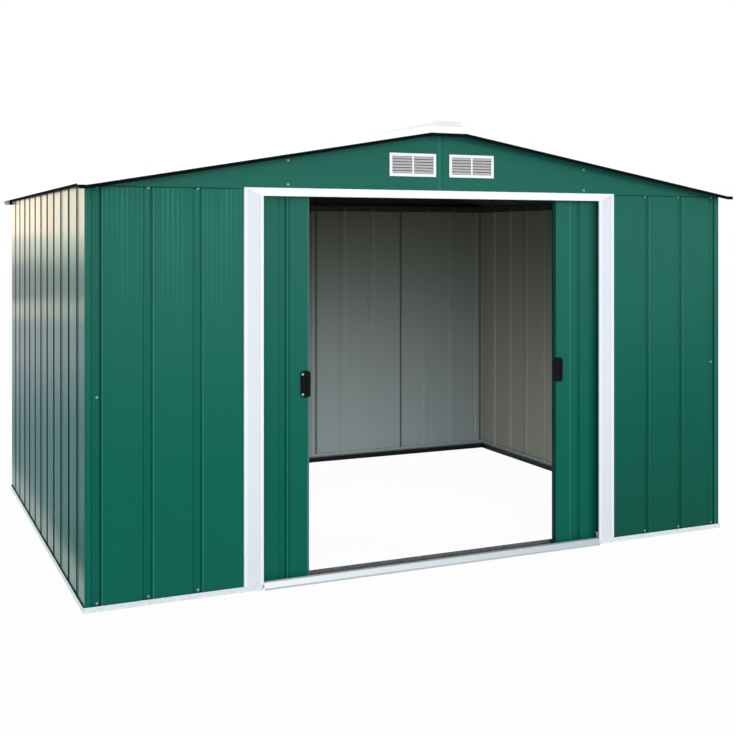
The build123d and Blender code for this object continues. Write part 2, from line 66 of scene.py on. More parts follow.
def linear(hexColour):
    # sRGB hex to the linear numbers that the shader wants
    channels = [int(hexColour[i:i + 2], 16) / 255 for i in (1, 3, 5)]
    return [c / 12.92 if c <= 0.04045 else ((c + 0.055) / 1.055) ** 2.4 for c in channels] + [1]


def addNode(tree, kind, sockets=None, **settings):
    # adds one node: sockets takes plain values or the outputs that feed them
    node = tree.nodes.new(kind)
    for name, value in settings.items():
        setattr(node, name, value)
    for name, value in (sockets or {}).items():
        if isinstance(value, bpy.types.NodeSocket):
            tree.links.new(value, node.inputs[name])
        else:
            node.inputs[name].default_value = value
    return node


def startMaterial(name):
    material = bpy.data.materials.new(name)
    material.use_nodes = True
    material.node_tree.nodes.clear()
    return material, material.node_tree


def linesAt(tree, along, place, period, reach):
    # 1 on lines a period apart, fading to 0 at reach on both sides
    moved = addNode(tree, "ShaderNodeMath", {0: along, 1: place}, operation="SUBTRACT").outputs[0]
    turns = {0: moved, 1: period / 2, 2: -period / 2}
    local = addNode(tree, "ShaderNodeMath", turns, operation="WRAP").outputs[0]
    away = addNode(tree, "ShaderNodeMath", {0: local}, operation="ABSOLUTE").outputs[0]
    fall = {"Value": away, "From Min": 0.0, "From Max": reach, "To Min": 1.0, "To Max": 0.0}
    return addNode(tree, "ShaderNodeMapRange", fall, interpolation_type="SMOOTHSTEP").outputs[0]


sheetLook = {
    "green": "#075e4f",
    "greenPale": "#0e6858",
    "paintedSheen": "#1f1f1f",  # painted sheen, added to the green towards the top
    "paintedSheenFrom": 0.4,  # m, height where the painted sheen starts
    "paintedSheenTo": 1.5,
    "rollMark": "#2a8472",
    "foldShine": "#3b8f7c",  # light caught along the fold of a rib
    "lapShade": "#06241d",
    "grooveShade": "#0b201c",
    "lowShade": "#0b4a38",
    # painted shade under the edge where a gable laps over the wall
    "gableSeamShade": "#0a3a30",
    "backCoat": "#a3b0b4",
    "backCoatHigh": "#797c71",  # painted shade higher up, under the roof
    # the inside of the right wall gets its own copy of the backing coat, with painted light and shade:
    # darker low down, lighter high up
    "backCoatRight": "#a3a69e",
    "backCoatRightHigh": "#838679",
    "gableInsideShade": "#3e403d",  # inside of the gables, in painted shade under the roof
    # painted highlight along the fold of a rib, on the inside
    "foldShineInside": "#c3cac9",
    "lapInside": "#2c2f2d",
    "roughness": (0.14, 0.22),
    "backRoughness": 0.45,
    "ior": 1.15,  # low, because a film of dust dulls the coat
    "foldedEdge": -0.4,  # faces that turn away less than this still show the outside coat
    "mottleScale": (1.4, 1.4, 0.7),  # broad, and longer up and down than across
    "rollPitch": 0.0203,  # m between the faint marks of the forming rolls
    "rollReach": 0.36,  # half a mark's width, as a share of that pitch
    "rollFrom": 1.05,  # m, height where the marks start to show
    "rollTo": 1.62,
    "patchScale": (15, 15, 1.1),  # tall patches, in which the marks come and go
    "patchFrom": 0.38,
    "patchTo": 0.62,
    "foldShineAt": 0.0225,  # m from a rib's middle
    "foldShineWidth": 0.004,
    "foldShineAmount": 0.6,
    "lapAt": 0.018,  # m from a rib's middle to the edge of the upper sheet
    "lapWidth": 0.005,
    "lapAmount": 0.7,
    "lapInsideWidth": 0.015,
    "flankAt": 0.017,  # m from a rib's middle to its flank
    "flankReach": 0.012,
    "lowTo": 1.2,  # m, height where the painted shade towards the ground ends
    "gableSeamAt": 0.006,  # m below the wall top, where a gable laps over the wall
    "gableSeamWidth": 0.004,
    # a painted highlight on the turned-up edge, then the thin dark joint
    "middleJointAndHighlight": [(-0.014, 0.012, 0.4, "#2a8472"), (0.0, 0.005, 0.4, "#0a3a30")],  # x, reach, amount
    "backFrom": 0.1,  # m, heights between which the backing coat darkens as painted shade
    "backTo": 1.6,
    "underRoof": 0.04,  # m below the wall top, where the inside of the gables turns dark as painted shade
    "oilCanning": 0.33,  # m, slow waves of a thin sheet
    "waveFlow": 0.6,  # the waves are longer up and down
    "waveHeight": 0.004,
    "waveStrength": 0.9,
    "peel": 0.009,  # m, drawn coarser than real orange peel, to show at all
    "peelHeight": 0.0002,
    "peelStrength": 0.3,
    "singlePeriod": 5.0,  # m, longer than the shed, for a line that isn't repeated
}


def sheetPaint(
    name, outward, axis, firstRib, firstLap, turn=None, gable=False, hems=None,
    coat="backCoat", streaks=0.3, groove=0.0, shade=0.0,
):
    # Coil-coated steel sheet, roll-formed: satin green polyester outside, dulled by a film of dust
    # and made a little paler towards the top by a painted sheen, and a thin grey backing coat on the
    # inside.
    # turn is for a corner sheet, hems for the doors, and coat names the backing coat's colours
    look = sheetLook
    material, tree = startMaterial(name)
    place = addNode(tree, "ShaderNodeTexCoord").outputs["Object"]
    xyz = addNode(tree, "ShaderNodeSeparateXYZ", {0: place}).outputs
    normal = addNode(tree, "ShaderNodeNewGeometry").outputs["True Normal"]
    if turn:
        # on a corner sheet the outward side turns with the wall
        depth = addNode(tree, "ShaderNodeMath", {0: xyz[1]}, operation="ABSOLUTE").outputs[0]
        onLongWall = {0: depth, 1: turn["at"]}
        onLongWall = addNode(tree, "ShaderNodeMath", onLongWall, operation="GREATER_THAN").outputs[0]
        sides = {"Factor": onLongWall, 4: turn["side"], 5: turn["long"]}
        outward = addNode(tree, "ShaderNodeMix", sides, data_type="VECTOR").outputs[1]
    facing = addNode(tree, "ShaderNodeVectorMath", {0: normal, 1: outward}, operation="DOT_PRODUCT")
    facing = {0: facing.outputs["Value"], 1: 0.0 if turn else look["foldedEdge"]}
    outside = addNode(tree, "ShaderNodeMath", facing, operation="GREATER_THAN").outputs[0]

    broad = addNode(tree, "ShaderNodeMapping", {"Vector": place, "Scale": look["mottleScale"]}).outputs[0]
    mottle = addNode(tree, "ShaderNodeTexNoise", {"Vector": broad, "Scale": 1.0, "Detail": 2.0}).outputs[0]
    belowGable = {0: xyz[2], 1: shed["wallTop"] - look["gableSeamAt"]}
    belowGable = addNode(tree, "ShaderNodeMath", belowGable, operation="LESS_THAN").outputs[0]
    # the marks of the rolls show towards the top, and in patches
    marks = linesAt(tree, xyz[axis], firstRib, look["rollPitch"], look["rollPitch"] * look["rollReach"])
    highUp = {"Value": xyz[2], "From Min": look["rollFrom"], "From Max": look["rollTo"], "To Max": streaks}
    highUp = addNode(tree, "ShaderNodeMapRange", highUp).outputs[0]
    tall = addNode(tree, "ShaderNodeMapping", {"Vector": place, "Scale": look["patchScale"]}).outputs[0]
    tall = addNode(tree, "ShaderNodeTexNoise", {"Vector": tall, "Scale": 1.0, "Detail": 1.0}).outputs[0]
    patchy = {"Value": tall, "From Min": look["patchFrom"], "From Max": look["patchTo"], "To Min": 0.1}
    patchy = addNode(tree, "ShaderNodeMapRange", patchy).outputs[0]
    for share in (patchy, highUp, belowGable):
        marks = addNode(tree, "ShaderNodeMath", {0: marks, 1: share}, operation="MULTIPLY").outputs[0]
    shine = linesAt(tree, xyz[axis], firstRib + look["foldShineAt"], ribs["pitch"], look["foldShineWidth"])
    for share in (belowGable, look["foldShineAmount"]):
        shine = addNode(tree, "ShaderNodeMath", {0: shine, 1: share}, operation="MULTIPLY").outputs[0]
    sheetWidth = ribs["pitch"] * ribs["perSheet"]
    lap = linesAt(tree, xyz[axis], firstLap + look["lapAt"], sheetWidth, look["lapWidth"])
    for share in (belowGable, look["lapAmount"]):
        lap = addNode(tree, "ShaderNodeMath", {0: lap, 1: share}, operation="MULTIPLY").outputs[0]

    green = {"Factor": mottle, 6: linear(look["green"]), 7: linear(look["greenPale"])}
    green = addNode(tree, "ShaderNodeMix", green, data_type="RGBA").outputs[2]
    # painted sheen: the green is made paler towards the top
    sheenUp = {"Value": xyz[2], "From Min": look["paintedSheenFrom"], "From Max": look["paintedSheenTo"]}
    sheenUp = addNode(tree, "ShaderNodeMapRange", sheenUp, interpolation_type="SMOOTHSTEP").outputs[0]
    green = {"Factor": sheenUp, 6: green, 7: linear(look["paintedSheen"])}
    green = addNode(tree, "ShaderNodeMix", green, data_type="RGBA", blend_type="ADD").outputs[2]
    for share, tint in ((marks, "rollMark"), (shine, "foldShine"), (lap, "lapShade")):
        green = {"Factor": share, 6: green, 7: linear(look[tint])}
        green = addNode(tree, "ShaderNodeMix", green, data_type="RGBA").outputs[2]
    if groove:
        # the flank of a rib that faces the front lies in its own shade
        flank = linesAt(tree, xyz[axis], firstRib + look["flankAt"], ribs["pitch"], look["flankReach"])
        flank = addNode(tree, "ShaderNodeMath", {0: flank, 1: groove}, operation="MULTIPLY").outputs[0]
        green = {"Factor": flank, 6: green, 7: linear(look["grooveShade"])}
        green = addNode(tree, "ShaderNodeMix", green, data_type="RGBA").outputs[2]
    if shade:
        # painted shade, darker towards the ground
        low = {"Value": xyz[2], "From Min": 0.0, "From Max": look["lowTo"], "To Min": shade, "To Max": 0.0}
        low = addNode(tree, "ShaderNodeMapRange", low).outputs[0]
        green = {"Factor": low, 6: green, 7: linear(look["lowShade"])}
        green = addNode(tree, "ShaderNodeMix", green, data_type="RGBA").outputs[2]
    if hems:
        # the folded leading edges of the doors: one catches the light, the other is in shade
        for low, high, tint in hems:
            near = {"Value": xyz[0], "From Min": low, "From Max": high}
            near = addNode(tree, "ShaderNodeMapRange", near, clamp=False).outputs[0]
            near = {0: near, 1: 0.5, 2: 0.5}  # 1 from low to high
            near = addNode(tree, "ShaderNodeMath", near, operation="COMPARE").outputs[0]
            green = {"Factor": near, 6: green, 7: linear(tint)}
            green = addNode(tree, "ShaderNodeMix", green, data_type="RGBA").outputs[2]
    if gable:
        seamHeight = shed["wallTop"] - look["gableSeamAt"]
        # painted shade under the gable's edge, where it laps over the wall
        under = linesAt(tree, xyz[2], seamHeight, look["singlePeriod"], look["gableSeamWidth"])
        green = {"Factor": under, 6: green, 7: linear(look["gableSeamShade"])}
        green = addNode(tree, "ShaderNodeMix", green, data_type="RGBA").outputs[2]
        # the two halves of the gable meet in the middle: one turned-up edge with a painted highlight,
        # beside a thin dark joint
        inGable = addNode(tree, "ShaderNodeMath", {0: 1.0, 1: belowGable}, operation="SUBTRACT").outputs[0]
        for at, reach, amount, tint in look["middleJointAndHighlight"]:
            joint = linesAt(tree, xyz[0], at, look["singlePeriod"], reach)
            for share in (inGable, amount):
                joint = {0: joint, 1: share}
                joint = addNode(tree, "ShaderNodeMath", joint, operation="MULTIPLY").outputs[0]
            green = {"Factor": joint, 6: green, 7: linear(tint)}
            green = addNode(tree, "ShaderNodeMix", green, data_type="RGBA").outputs[2]
    # painted shade: the backing coat darkens upwards, towards the roof
    higher = {"Value": xyz[2], "From Min": look["backFrom"], "From Max": look["backTo"]}
    higher = addNode(tree, "ShaderNodeMapRange", higher).outputs[0]
    grey = {"Factor": higher, 6: linear(look[coat]), 7: linear(look[coat + "High"])}
    grey = addNode(tree, "ShaderNodeMix", grey, data_type="RGBA").outputs[2]
    # painted shade on the inside of the gables, above this height
    above = {0: xyz[2], 1: shed["wallTop"] - look["underRoof"]}
    above = addNode(tree, "ShaderNodeMath", above, operation="GREATER_THAN").outputs[0]
    innerLap = linesAt(tree, xyz[axis], firstLap + look["lapAt"], sheetWidth, look["lapInsideWidth"])
    for share, tint in ((above, "gableInsideShade"), (shine, "foldShineInside"), (innerLap, "lapInside")):
        grey = {"Factor": share, 6: grey, 7: linear(look[tint])}
        grey = addNode(tree, "ShaderNodeMix", grey, data_type="RGBA").outputs[2]
    colour = {"Factor": outside, 6: grey, 7: green}
    colour = addNode(tree, "ShaderNodeMix", colour, data_type="RGBA").outputs[2]

    gloss = {"Value": mottle, "To Min": look["roughness"][0], "To Max": look["roughness"][1]}
    gloss = addNode(tree, "ShaderNodeMapRange", gloss).outputs[0]
    rough = {"Factor": outside, 2: look["backRoughness"], 3: gloss}
    rough = addNode(tree, "ShaderNodeMix", rough).outputs[0]
    waved = [share / look["oilCanning"] for share in (1, 1, look["waveFlow"])]
    waved = addNode(tree, "ShaderNodeMapping", {"Vector": place, "Scale": waved}).outputs[0]
    waves = addNode(tree, "ShaderNodeTexNoise", {"Vector": waved, "Scale": 1.0, "Detail": 1.0}).outputs[0]
    slow = {"Height": waves, "Distance": look["waveHeight"], "Strength": look["waveStrength"]}
    slow = addNode(tree, "ShaderNodeBump", slow).outputs[0]
    peel = {"Vector": place, "Scale": 1 / look["peel"], "Detail": 2.0}
    peel = addNode(tree, "ShaderNodeTexNoise", peel).outputs[0]
    fine = {"Height": peel, "Distance": look["peelHeight"], "Strength": look["peelStrength"]}
    fine = addNode(tree, "ShaderNodeBump", {**fine, "Normal": slow}).outputs[0]
    sockets = {"Base Color": colour, "Roughness": rough, "IOR": look["ior"], "Normal": fine}
    shader = addNode(tree, "ShaderNodeBsdfPrincipled", sockets)
    addNode(tree, "ShaderNodeOutputMaterial", {"Surface": shader.outputs[0]})
    return material


whiteLook = {
    "roughness": (0.34, 0.46),
    "ior": 1.4,
    "mottle": 0.26,  # m
    "peel": 0.007,  # m, drawn coarser than real orange peel
    "peelHeight": 0.0002,
    "peelStrength": 0.4,
}


def whitePaint(name, pale, shade, middle=None):
    # white polyester coat on folded steel: clean, a little cool, satin
    look = whiteLook
    material, tree = startMaterial(name)
    place = addNode(tree, "ShaderNodeTexCoord").outputs["Object"]
    mottle = addNode(tree, "ShaderNodeTexNoise", {"Vector": place, "Scale": 1 / look["mottle"]}).outputs[0]
    colour = {"Factor": mottle, 6: linear(pale), 7: linear(shade)}
    colour = addNode(tree, "ShaderNodeMix", colour, data_type="RGBA").outputs[2]
    if middle:
        # the dished floor of a jamb lies in a little shade between its two raised edges
        across = addNode(tree, "ShaderNodeSeparateXYZ", {0: place}).outputs[0]
        across = addNode(tree, "ShaderNodeMath", {0: across}, operation="ABSOLUTE").outputs[0]
        dished = {0: across, 1: middle["at"], 2: middle["half"]}
        dished = addNode(tree, "ShaderNodeMath", dished, operation="COMPARE").outputs[0]
        colour = {"Factor": dished, 6: colour, 7: linear(middle["colour"])}
        colour = addNode(tree, "ShaderNodeMix", colour, data_type="RGBA").outputs[2]
    rough = {"Value": mottle, "To Min": look["roughness"][0], "To Max": look["roughness"][1]}
    rough = addNode(tree, "ShaderNodeMapRange", rough).outputs[0]
    peel = addNode(tree, "ShaderNodeTexNoise", {"Vector": place, "Scale": 1 / look["peel"]}).outputs[0]
    bump = {"Height": peel, "Distance": look["peelHeight"], "Strength": look["peelStrength"]}
    bump = addNode(tree, "ShaderNodeBump", bump).outputs[0]
    sockets = {"Base Color": colour, "Roughness": rough, "IOR": look["ior"], "Normal": bump}
    shader = addNode(tree, "ShaderNodeBsdfPrincipled", sockets)
    addNode(tree, "ShaderNodeOutputMaterial", {"Surface": shader.outputs[0]})
    return material


zincLook = {
    "spangle": 0.009,  # m across a crystal
    "uneven": 0.08,  # how far the roughness goes up and down
    "innerLitTop": "#aab9bc",  # painted light along the top of the inner side
    "innerShadeTo": 0.027,  # m, height up to which the inner side's painted shade is full
    "innerLitFrom": 0.046,
    "facesIn": -0.5,  # a face that turns away more than this is on the inner side
    "sheen": 0.5,
    "innerSheen": 0.08,
}


def zincCoat(name, pale, dark, roughness, metal, inner=None, outward=None, paintedLight=None):
    # hot-dip galvanised strip: dull metal with a frosty spangle, and its inner side darkened as painted
    # shade
    look = zincLook
    material, tree = startMaterial(name)
    place = addNode(tree, "ShaderNodeTexCoord").outputs["Object"]
    xyz = addNode(tree, "ShaderNodeSeparateXYZ", {0: place}).outputs
    cells = {"Vector": place, "Scale": 1 / look["spangle"]}
    cells = addNode(tree, "ShaderNodeTexVoronoi", cells).outputs["Color"]
    grain = addNode(tree, "ShaderNodeSeparateXYZ", {0: cells}).outputs[0]
    colour = {"Factor": grain, 6: linear(pale), 7: linear(dark)}
    colour = addNode(tree, "ShaderNodeMix", colour, data_type="RGBA").outputs[2]
    if paintedLight:
        # darker towards one end, a painted fall-off of its reflection
        along = {"Value": xyz[0], "From Min": paintedLight["from"], "From Max": paintedLight["to"]}
        along = addNode(tree, "ShaderNodeMapRange", along).outputs[0]
        colour = {"Factor": along, 6: colour, 7: linear(paintedLight["colour"])}
        colour = addNode(tree, "ShaderNodeMix", colour, data_type="RGBA").outputs[2]
        # and painted shade along its foot
        foot = {0: xyz[2], 1: paintedLight["foot"]}
        foot = addNode(tree, "ShaderNodeMath", foot, operation="LESS_THAN").outputs[0]
        colour = {"Factor": foot, 6: colour, 7: linear(paintedLight["footShade"])}
        colour = addNode(tree, "ShaderNodeMix", colour, data_type="RGBA").outputs[2]
    if inner:
        normal = addNode(tree, "ShaderNodeNewGeometry").outputs["True Normal"]
        facing = addNode(tree, "ShaderNodeVectorMath", {0: normal, 1: outward}, operation="DOT_PRODUCT")
        facing = {0: facing.outputs["Value"], 1: look["facesIn"]}
        inside = addNode(tree, "ShaderNodeMath", facing, operation="LESS_THAN").outputs[0]
        # the inner side is painted in shade, lighter towards its top
        innerLit = {"Value": xyz[2], "From Min": look["innerShadeTo"], "From Max": look["innerLitFrom"]}
        innerLit = addNode(tree, "ShaderNodeMapRange", innerLit).outputs[0]
        primer = {"Factor": innerLit, 6: linear(inner), 7: linear(look["innerLitTop"])}
        primer = addNode(tree, "ShaderNodeMix", primer, data_type="RGBA").outputs[2]
        colour = {"Factor": inside, 6: colour, 7: primer}
        colour = addNode(tree, "ShaderNodeMix", colour, data_type="RGBA").outputs[2]
        bare = {"Value": inside, "To Min": metal, "To Max": 0.0}
        metal = addNode(tree, "ShaderNodeMapRange", bare).outputs[0]
    rough = {"Value": grain, "To Min": roughness - look["uneven"], "To Max": roughness + look["uneven"]}
    rough = addNode(tree, "ShaderNodeMapRange", rough).outputs[0]
    sockets = {"Base Color": colour, "Roughness": rough, "Metallic": metal}
    if inner:
        dull = {"Value": inside, "To Min": look["sheen"], "To Max": look["innerSheen"]}
        sockets["Specular IOR Level"] = addNode(tree, "ShaderNodeMapRange", dull).outputs[0]
    shader = addNode(tree, "ShaderNodeBsdfPrincipled", sockets)
    addNode(tree, "ShaderNodeOutputMaterial", {"Surface": shader.outputs[0]})
    return material


plasticLook = {
    "mottleScale": 33.0,  # patches of 30 mm
    "grainScale": 1250.0,  # grains of 0.8 mm
    "grainHeight": 0.0002,
    "grainStrength": 0.5,
    "uneven": 0.05,
    "facesOut": 0.97,  # a face that looks less straight out than this belongs to a slat
}


def mouldedPlastic(name, pale, dark, roughness, ior, slats=None):
    # injection-moulded plastic: an even colour over a fine spark-eroded texture
    look = plasticLook
    material, tree = startMaterial(name)
    place = addNode(tree, "ShaderNodeTexCoord").outputs["Object"]
    mottle = {"Vector": place, "Scale": look["mottleScale"]}
    mottle = addNode(tree, "ShaderNodeTexNoise", mottle).outputs[0]
    colour = {"Factor": mottle, 6: linear(pale), 7: linear(dark)}
    colour = addNode(tree, "ShaderNodeMix", colour, data_type="RGBA").outputs[2]
    if slats:
        # the tilted slats of a vent are painted grey as shade, and its frame faces straight out
        normal = addNode(tree, "ShaderNodeNewGeometry").outputs["True Normal"]
        outward = addNode(tree, "ShaderNodeSeparateXYZ", {0: normal}).outputs[1]
        outward = addNode(tree, "ShaderNodeMath", {0: outward}, operation="ABSOLUTE").outputs[0]
        tilted = {0: outward, 1: look["facesOut"]}
        tilted = addNode(tree, "ShaderNodeMath", tilted, operation="LESS_THAN").outputs[0]
        colour = {"Factor": tilted, 6: colour, 7: linear(slats)}
        colour = addNode(tree, "ShaderNodeMix", colour, data_type="RGBA").outputs[2]
    texture = {"Vector": place, "Scale": look["grainScale"], "Detail": 3.0}
    texture = addNode(tree, "ShaderNodeTexNoise", texture).outputs[0]
    rough = {"Value": texture, "To Min": roughness - look["uneven"], "To Max": roughness + look["uneven"]}
    rough = addNode(tree, "ShaderNodeMapRange", rough).outputs[0]
    bump = {"Height": texture, "Distance": look["grainHeight"], "Strength": look["grainStrength"]}
    bump = addNode(tree, "ShaderNodeBump", bump).outputs[0]
    sockets = {"Base Color": colour, "Roughness": rough, "IOR": ior, "Normal": bump}
    shader = addNode(tree, "ShaderNodeBsdfPrincipled", sockets)
    addNode(tree, "ShaderNodeOutputMaterial", {"Surface": shader.outputs[0]})
    return material


darkLook = {
    "primer": "#040d0b",
    "primerPale": "#091411",
    "mottleScale": 8.0,
    "whiteEnd": "#e3e6e8",
    "roughness": (0.55, 0.7),
    "ior": 1.12,
}


def darkCoat(name, axis=None, beyond=0.0):
    # dark primer on the folded roof rails: nearly black, with hardly any sheen
    look = darkLook
    material, tree = startMaterial(name)
    place = addNode(tree, "ShaderNodeTexCoord").outputs["Object"]
    mottle = {"Vector": place, "Scale": look["mottleScale"]}
    mottle = addNode(tree, "ShaderNodeTexNoise", mottle).outputs[0]
    colour = {"Factor": mottle, 6: linear(look["primer"]), 7: linear(look["primerPale"])}
    colour = addNode(tree, "ShaderNodeMix", colour, data_type="RGBA").outputs[2]
    if axis is not None:
        # the ends of a rail beyond the walls are white
        along = addNode(tree, "ShaderNodeSeparateXYZ", {0: place}).outputs[axis]
        along = addNode(tree, "ShaderNodeMath", {0: along}, operation="ABSOLUTE").outputs[0]
        overhang = {0: along, 1: beyond}
        overhang = addNode(tree, "ShaderNodeMath", overhang, operation="GREATER_THAN").outputs[0]
        colour = {"Factor": overhang, 6: colour, 7: linear(look["whiteEnd"])}
        colour = addNode(tree, "ShaderNodeMix", colour, data_type="RGBA").outputs[2]
    rough = {"Value": mottle, "To Min": look["roughness"][0], "To Max": look["roughness"][1]}
    rough = addNode(tree, "ShaderNodeMapRange", rough).outputs[0]
    sockets = {"Base Color": colour, "Roughness": rough, "IOR": look["ior"]}
    shader = addNode(tree, "ShaderNodeBsdfPrincipled", sockets)
    addNode(tree, "ShaderNodeOutputMaterial", {"Surface": shader.outputs[0]})
    return material


doorEdges = {
    "firstRib": 0.125,  # m from the left door's outer edge
    "firstLap": -5.0,  # m, from which the lap lines are counted
    "litHem": (0.012, 0.0005, "#4f7f73"),  # m outwards and inwards of the leading edge
    "shadedHem": (0.0005, 0.010, "#0a3c31"),
}
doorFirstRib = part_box("left_door")[0][0] + doorEdges["firstRib"]
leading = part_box("right_door")[0][0]
before, after, tint = doorEdges["litHem"]
doorHems = [(-leading - before, -leading + after, tint)]
before, after, tint = doorEdges["shadedHem"]
doorHems.append((leading - before, leading + after, tint))
ahead, toRight = (0, -1, 0), (1, 0, 0)
wallPaint = {
    "left": sheetPaint("coilCoatedSheetLeft", (-1, 0, 0), 1, sideFirst, sideRibs[2], groove=0.85),
    "right": sheetPaint("coilCoatedSheetRight", toRight, 1, sideFirst, sideRibs[2], coat="backCoatRight"),
    "front": sheetPaint("coilCoatedSheetFront", ahead, 0, longFirst, longFirst, gable=True, streaks=0.9),
    "frontRight": sheetPaint(
        "coilCoatedSheetFrontRight", ahead, 0, longFirst, longFirst,
        gable=True, streaks=0.1, shade=0.6,
    ),
    "back": sheetPaint("coilCoatedSheetBack", (0, 1, 0), 0, longFirst, longFirst, gable=True),
    "roof": sheetPaint("coilCoatedSheetRoof", (0, 0, 1), 1, sideFirst, sideFirst),
    "door": sheetPaint(
        "coilCoatedSheetDoor", ahead, 0, doorFirstRib, doorEdges["firstLap"],
        hems=doorHems, streaks=0.15,
    ),
}
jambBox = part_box("door_jamb_right")
jambMiddle = {"at": (jambBox[0][0] + jambBox[1][0]) / 2, "half": 0.028, "colour": "#e3e7ef"}
white = whitePaint("whiteCoatedSteel", "#f4f7fb", "#eef2f8", jambMiddle)
brightWhite = whitePaint("whiteCoatedTrim", "#fdfdfe", "#f8fafd")
# painted light on the sill: its reflection fades towards the right end, and its front foot is in painted
# shade
sillPaintedLight = {"from": -0.9, "to": 0.95, "colour": "#bcc6c8", "foot": 0.0065, "footShade": "#bac3c9"}
zinc = zincCoat("galvanisedStrip", "#feffff", "#f8feff", 0.35, 0.0, paintedLight=sillPaintedLight)
# rails, beams and runners inside the shed: galvanised strip darkened as painted shade
shadedZinc = zincCoat("galvanisedStripInPaintedShade", "#2b3032", "#202526", 0.6, 0.1)
boltZinc = zincCoat("zincPlatedScrew", "#a3beb5", "#8dab9f", 0.4, 0.15)
trackZinc = zincCoat("dullGalvanisedTrack", "#7e8387", "#5d6266", 0.5, 0.2)
railEnd = 0.006  # m beyond the wall where a roof rail turns white
darkRail = darkCoat("darkPrimedRail")
sideRail = darkCoat("darkPrimedSideRail", 1, shed["halfDepth"] + railEnd)
backRail = darkCoat("darkPrimedBackRail", 0, shed["halfLength"] + railEnd)
blackPlastic = mouldedPlastic("blackMouldedPlastic", "#07080a", "#0b0c0f", 0.5, 1.2)
capPlastic = mouldedPlastic("offWhiteMouldedPlastic", "#e6e9eb", "#dfe2e5", 0.5, 1.4)
whitePlastic = mouldedPlastic("whiteMouldedPlastic", "#fbfcfd", "#f4f6f8", 0.45, 1.4)
ventPlastic = mouldedPlastic("whiteMouldedPlasticShadedSlats", "#fbfcfd", "#f4f6f8", 0.45, 1.4, slats="#c3bfc0")
cornerSides = {"front_left": (-1, -1), "front_right": (1, -1), "back_left": (-1, 1), "back_right": (1, 1)}
cornerTurn = shed["halfDepth"] - 0.0145  # depth at which a corner sheet turns into the long wall
lean = 0.3  # keeps a rib's flank on its own wall's side
railSides = {
    "left": (-1, 0, 0), "right": toRight, "back": (0, 1, 0),
    "front_left": ahead, "front_right": ahead,
}
railZinc = ("#e8eef0", "#d9e0e2", 0.45, 0.15, "#151b1c")  # pale, dark, roughness, metal, inner side in painted shade


def dress(name, material):
    for slot in nodes[name].material_slots:
        slot.material = material


for name in nodes:
    if name.startswith("corner_"):
        x, y = cornerSides[name[len("corner_"):]]
        turn = {"at": cornerTurn, "side": (x, lean * y, 0), "long": (lean * x, y, 0)}
        coat = "backCoatRight" if (x, y) == (1, 1) else "backCoat"
        paint = sheetPaint("coilCoatedSheet_" + name, (x, y, 0), 0, longFirst, longFirst, turn, coat=coat)
        dress(name, paint)
    elif name in ("left_wall", "right_wall", "back_wall"):
        dress(name, wallPaint[name.split("_")[0]])
    elif name in ("left_door", "right_door"):
        dress(name, wallPaint["door"])
    elif name.startswith(("front_wall", "front_gable")):
        dress(name, wallPaint["frontRight" if name.endswith("right") else "front"])
    elif name.startswith("back_gable"):
        dress(name, wallPaint["back"])
    elif name in ("roof_left", "roof_right"):
        dress(name, wallPaint["roof"])
    elif name.startswith("vent_"):
        dress(name, ventPlastic)
    elif name == "eave_corner_caps":
        dress(name, whitePlastic)
    elif name == "ridge_end_caps":
        dress(name, capPlastic)
    elif name.endswith("_handle"):
        dress(name, blackPlastic)
    elif name.endswith("_edge_rail"):
        dress(name, {"front": darkRail, "back": backRail}.get(name.split("_")[0], sideRail))
    elif name == "lower_door_track":
        dress(name, trackZinc)
    elif name.startswith("base_rail_"):
        side = name[len("base_rail_"):]
        dress(name, zincCoat("galvanisedRail_" + side, *railZinc, railSides[side]))
    elif name == "door_sill":
        dress(name, zinc)
    elif name.startswith(("top_rail", "upper_door", "ridge_beam", "purlin")) or name.endswith("_runners"):
        dress(name, shadedZinc)
    elif "jamb" in name:
        dress(name, white)
    else:
        dress(name, brightWhite)
print("materials on the CAD nodes")

screwLook = {
    "sides": 8,
    "washer": 0.0060,  # radius, m
    "washerDrop": 0.0008,
    "dish": 0.7,  # how far the washer rises to the head, as a share of its drop
    "head": 0.0040,
    "headHeight": 0.0026,
    "chamfer": 0.25,
    "crown": 0.2,
    "shankInset": 0.7,  # share of the washer's radius
    "shank": 0.009,  # through the sheet and a little way inside
    "facing": 0.9,  # how squarely a face has to look along Z to be picked
}


def pick(piece, test):
    # leaves the piece in edit mode with only the faces that pass the test selected
    for face in piece.data.polygons:
        face.select = test(face)
    bpy.ops.object.mode_set(mode="EDIT")
    bpy.ops.mesh.select_mode(type="FACE")


def modelScrew():
    # eight-sided head on a dished washer, standing on the origin along Z
    look = screwLook
    bpy.ops.object.select_all(action="DESELECT")
    bpy.ops.mesh.primitive_cylinder_add(
        vertices=look["sides"], radius=look["washer"], depth=look["washerDrop"],
        location=(0, 0, look["washerDrop"] / 2),
    )
    screw = bpy.context.object
    bpy.ops.object.transform_apply(location=True)
    bpy.ops.object.mode_set(mode="EDIT")
    bpy.ops.mesh.select_all(action="DESELECT")
    bpy.ops.object.mode_set(mode="OBJECT")
    pick(screw, lambda face: face.normal.z > look["facing"])
    bpy.ops.mesh.inset(thickness=look["washer"] - look["head"])
    bpy.ops.transform.translate(value=(0, 0, look["washerDrop"] * look["dish"]))
    bpy.ops.mesh.extrude_region_move(TRANSFORM_OT_translate={"value": (0, 0, look["headHeight"])})
    bpy.ops.mesh.inset(thickness=look["head"] * look["chamfer"])
    bpy.ops.transform.translate(value=(0, 0, look["headHeight"] * look["crown"]))
    bpy.ops.object.mode_set(mode="OBJECT")
    pick(screw, lambda face: face.normal.z < -look["facing"])
    bpy.ops.mesh.inset(thickness=look["washer"] * look["shankInset"])
    bpy.ops.mesh.extrude_region_move(TRANSFORM_OT_translate={"value": (0, 0, -look["shank"])})
    bpy.ops.object.mode_set(mode="OBJECT")
    return screw


